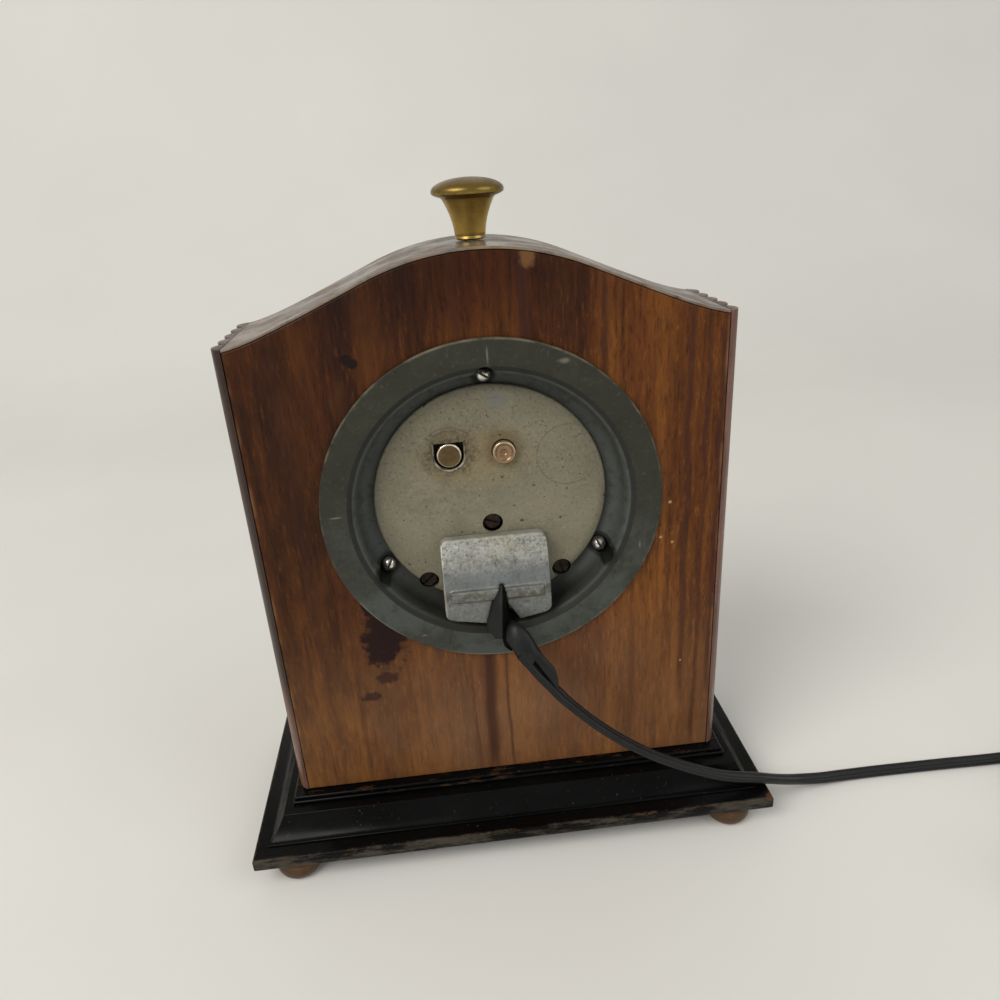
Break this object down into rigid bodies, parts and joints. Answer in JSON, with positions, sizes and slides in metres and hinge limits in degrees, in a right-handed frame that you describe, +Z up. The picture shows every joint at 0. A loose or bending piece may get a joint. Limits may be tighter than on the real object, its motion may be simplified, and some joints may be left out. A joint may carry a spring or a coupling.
{
  "type": "electric mantel clock",
  "caption": "Electric mantel clock in an arched wooden case with reeded sides, black stepped base, brass top knob, pressed rear cover with button and setting knob, and twin flex.",
  "frame": {"origin": "on the table below the middle of the base", "axes": "+Z up, -Y out of the dial, +Y out of the back with the cover and the terminal hood, +X to the left as seen from the back"},
  "size_m": [0.4122, 0.1617, 0.2602],
  "materials": {
    "walnut": "polished brown hardwood, worn at the edges",
    "ebonised": "black polished wood, rubbed brown at the arrises",
    "foot_wood": "turned orange-brown wood",
    "brass": "aged brass",
    "ring_steel": "pressed steel in worn olive-grey lacquer",
    "cover_paint": "pressed steel in speckled cream-grey paint",
    "zinc": "die-cast zinc, dull and mottled",
    "steel": "bright turned steel",
    "browned_steel": "rusty browned steel",
    "bakelite": "dark brown moulded phenolic",
    "copper": "enamelled copper wire, wound",
    "iron": "stacked iron sheets",
    "dial_paint": "cream enamelled dial",
    "hand_paint": "blackened steel",
    "clear_glass": "clear domed glass",
    "flex_rubber": "black rubber"
  },
  "bodies": {
    "case": {"back_board": "walnut", "front_board": "walnut", "top_board": "walnut", "top_veneer": "walnut", "left_wall": "walnut", "right_wall": "walnut", "left_reeding": "walnut", "right_reeding": "walnut", "plinth_slab": "ebonised", "plinth_moulding": "ebonised", "plinth_riser": "ebonised", "foot_rear_left": "foot_wood", "foot_rear_right": "foot_wood", "foot_front_left": "foot_wood", "foot_front_right": "foot_wood", "top_knob": "brass", "terminal_pin_left": "brass", "terminal_pin_right": "brass", "rear_plate": "brass", "front_plate": "brass", "pillar_1": "brass", "pillar_2": "brass", "pillar_3": "brass", "gear_case": "brass", "bezel": "brass", "rear_ring": "ring_steel", "back_cover": "cover_paint", "terminal_hood": "zinc", "knob_screw": "steel", "case_screw_1": "steel", "case_screw_2": "steel", "case_screw_3": "steel", "start_spring": "steel", "front_ring": "steel", "cover_screw_1": "browned_steel", "cover_screw_2": "browned_steel", "cover_screw_3": "browned_steel", "terminal_block": "bakelite", "coil_bobbin": "bakelite", "plug": "bakelite", "coil_winding": "copper", "stator_core": "iron", "dial": "dial_paint", "glass": "clear_glass", "flex_sleeve": "flex_rubber", "flex": "flex_rubber", "flex_coil": "flex_rubber", "flex_tie": "flex_rubber"},
    "rotor": {"rotor": "steel"},
    "start": {"start_button": "steel"},
    "set": {"set_knob": "steel", "set_arbor": "steel", "minute_wheel": "brass"},
    "minute": {"cannon_pinion": "steel", "centre_arbor": "steel", "minute_hand": "hand_paint", "hand_nut": "brass"},
    "hour": {"hour_wheel": "brass", "hour_hand": "hand_paint"}
  },
  "joints": [
    {"name": "set_turn", "type": "hinge", "parent": "case", "child": "set", "pos_m": [-0.0057, 0, 0.16735], "axis": [0, 1, 0], "continuous": true},
    {"name": "minute_turn", "type": "hinge", "parent": "case", "child": "minute", "pos_m": [0, 0, 0.14905], "axis": [0, 1, 0], "continuous": true},
    {"name": "hour_turn", "type": "hinge", "parent": "case", "child": "hour", "pos_m": [0, 0, 0.14905], "axis": [0, 1, 0], "continuous": true},
    {"name": "rotor_spin", "type": "hinge", "parent": "case", "child": "rotor", "pos_m": [0, 0, 0.14505], "axis": [0, 1, 0], "continuous": true},
    {"name": "start_push", "type": "slide", "parent": "case", "child": "start", "axis": [0, -1, 0], "range_m": [0, 0.003], "stiffness_N_per_m": 300, "springref_m": -0.001, "deforming": ["start_spring"]}
  ],
  "couplings": [
    {"joint": "minute_turn", "follows": "set_turn", "ratio": -3},
    {"joint": "hour_turn", "follows": "set_turn", "ratio": -0.25}
  ]
}
